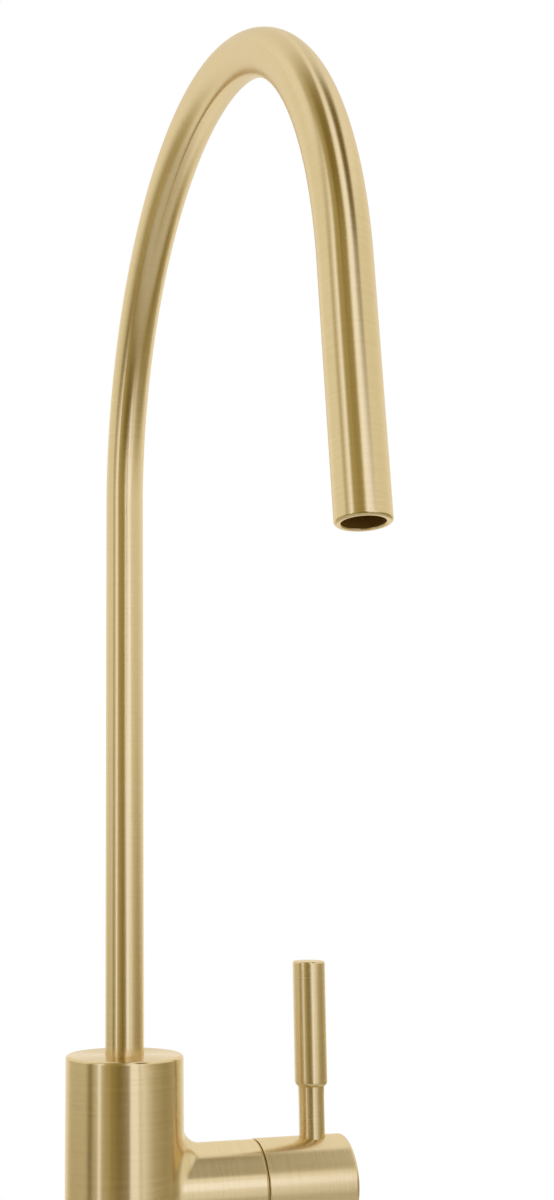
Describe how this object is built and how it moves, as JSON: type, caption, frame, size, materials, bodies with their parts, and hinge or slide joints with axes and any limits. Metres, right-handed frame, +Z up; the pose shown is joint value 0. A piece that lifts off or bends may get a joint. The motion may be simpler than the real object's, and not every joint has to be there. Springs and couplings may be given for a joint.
{
  "type": "drinking water filter tap",
  "caption": "Gooseneck drinking water tap in brushed gold: swivel spout, round body, side valve with a quarter-turn pin lever, threaded shank, clamp kit and push-fit inlet.",
  "frame": {"origin": "where the body's axis meets the worktop, at the centre of the base gasket's underside", "axes": "+Z up along the body, +X along the valve branch to the lever, -Y the way the spout reaches at rest"},
  "size_m": [0.0828, 0.1958, 0.3868],
  "materials": {
    "brushed_gold": "satin brushed, pale gold PVD on brass",
    "raw_brass": "machined, bare",
    "stainless": "pressed sheet",
    "black_rubber": "moulded, matt",
    "white_acetal": "moulded, satin",
    "grey_acetal": "moulded, satin",
    "disc_ceramic": "lapped"
  },
  "bodies": {
    "base": {"body": "brushed_gold", "base_flange": "brushed_gold", "base_gasket": "black_rubber", "shank": "raw_brass", "shank_seal": "black_rubber", "spout_screw": "raw_brass", "cartridge_housing": "raw_brass", "housing_o_ring": "black_rubber", "seat_seal": "black_rubber", "fixed_disc": "disc_ceramic", "thrust_washer": "white_acetal", "glide_ring": "raw_brass", "inlet_connector": "grey_acetal", "connector_seal": "black_rubber", "supply_o_ring": "black_rubber"},
    "spout": {"spout_tube": "brushed_gold", "spout_spigot": "raw_brass", "spout_o_rings": "black_rubber"},
    "handle": {"cartridge_spindle": "raw_brass", "moving_disc": "disc_ceramic", "spindle_o_rings": "black_rubber", "spindle_circlip": "stainless", "handle_hub": "brushed_gold", "handle_screw": "raw_brass", "lever_pin": "brushed_gold"},
    "clamp": {"clamp_washer_rubber": "black_rubber", "clamp_washer_steel": "stainless"},
    "nut": {"lock_nut": "raw_brass"},
    "collet": {"release_collet": "white_acetal"}
  },
  "joints": [
    {"name": "spout_swivel", "type": "hinge", "parent": "base", "child": "spout", "pos_m": [0, 0, 0.073], "axis": [0, 0, 1], "continuous": true},
    {"name": "lever_turn", "type": "hinge", "parent": "base", "child": "handle", "pos_m": [0.0365, 0, 0.038], "axis": [1, 0, 0], "range_deg": [0, 90]},
    {"name": "clamp_travel", "type": "slide", "parent": "base", "child": "clamp", "axis": [0, 0, 1], "range_m": [-0.012, 0.0165]},
    {"name": "nut_turn", "type": "hinge", "parent": "clamp", "child": "nut", "pos_m": [0, 0, -0.028], "axis": [0, 0, 1], "range_deg": [-2880, 3960]},
    {"name": "collet_press", "type": "slide", "parent": "base", "child": "collet", "axis": [0, 0, 1], "range_m": [0, 0.0015]}
  ],
  "couplings": [
    {"joint": "clamp_travel", "follows": "nut_turn", "m_per_rad": 0.00023873}
  ]
}
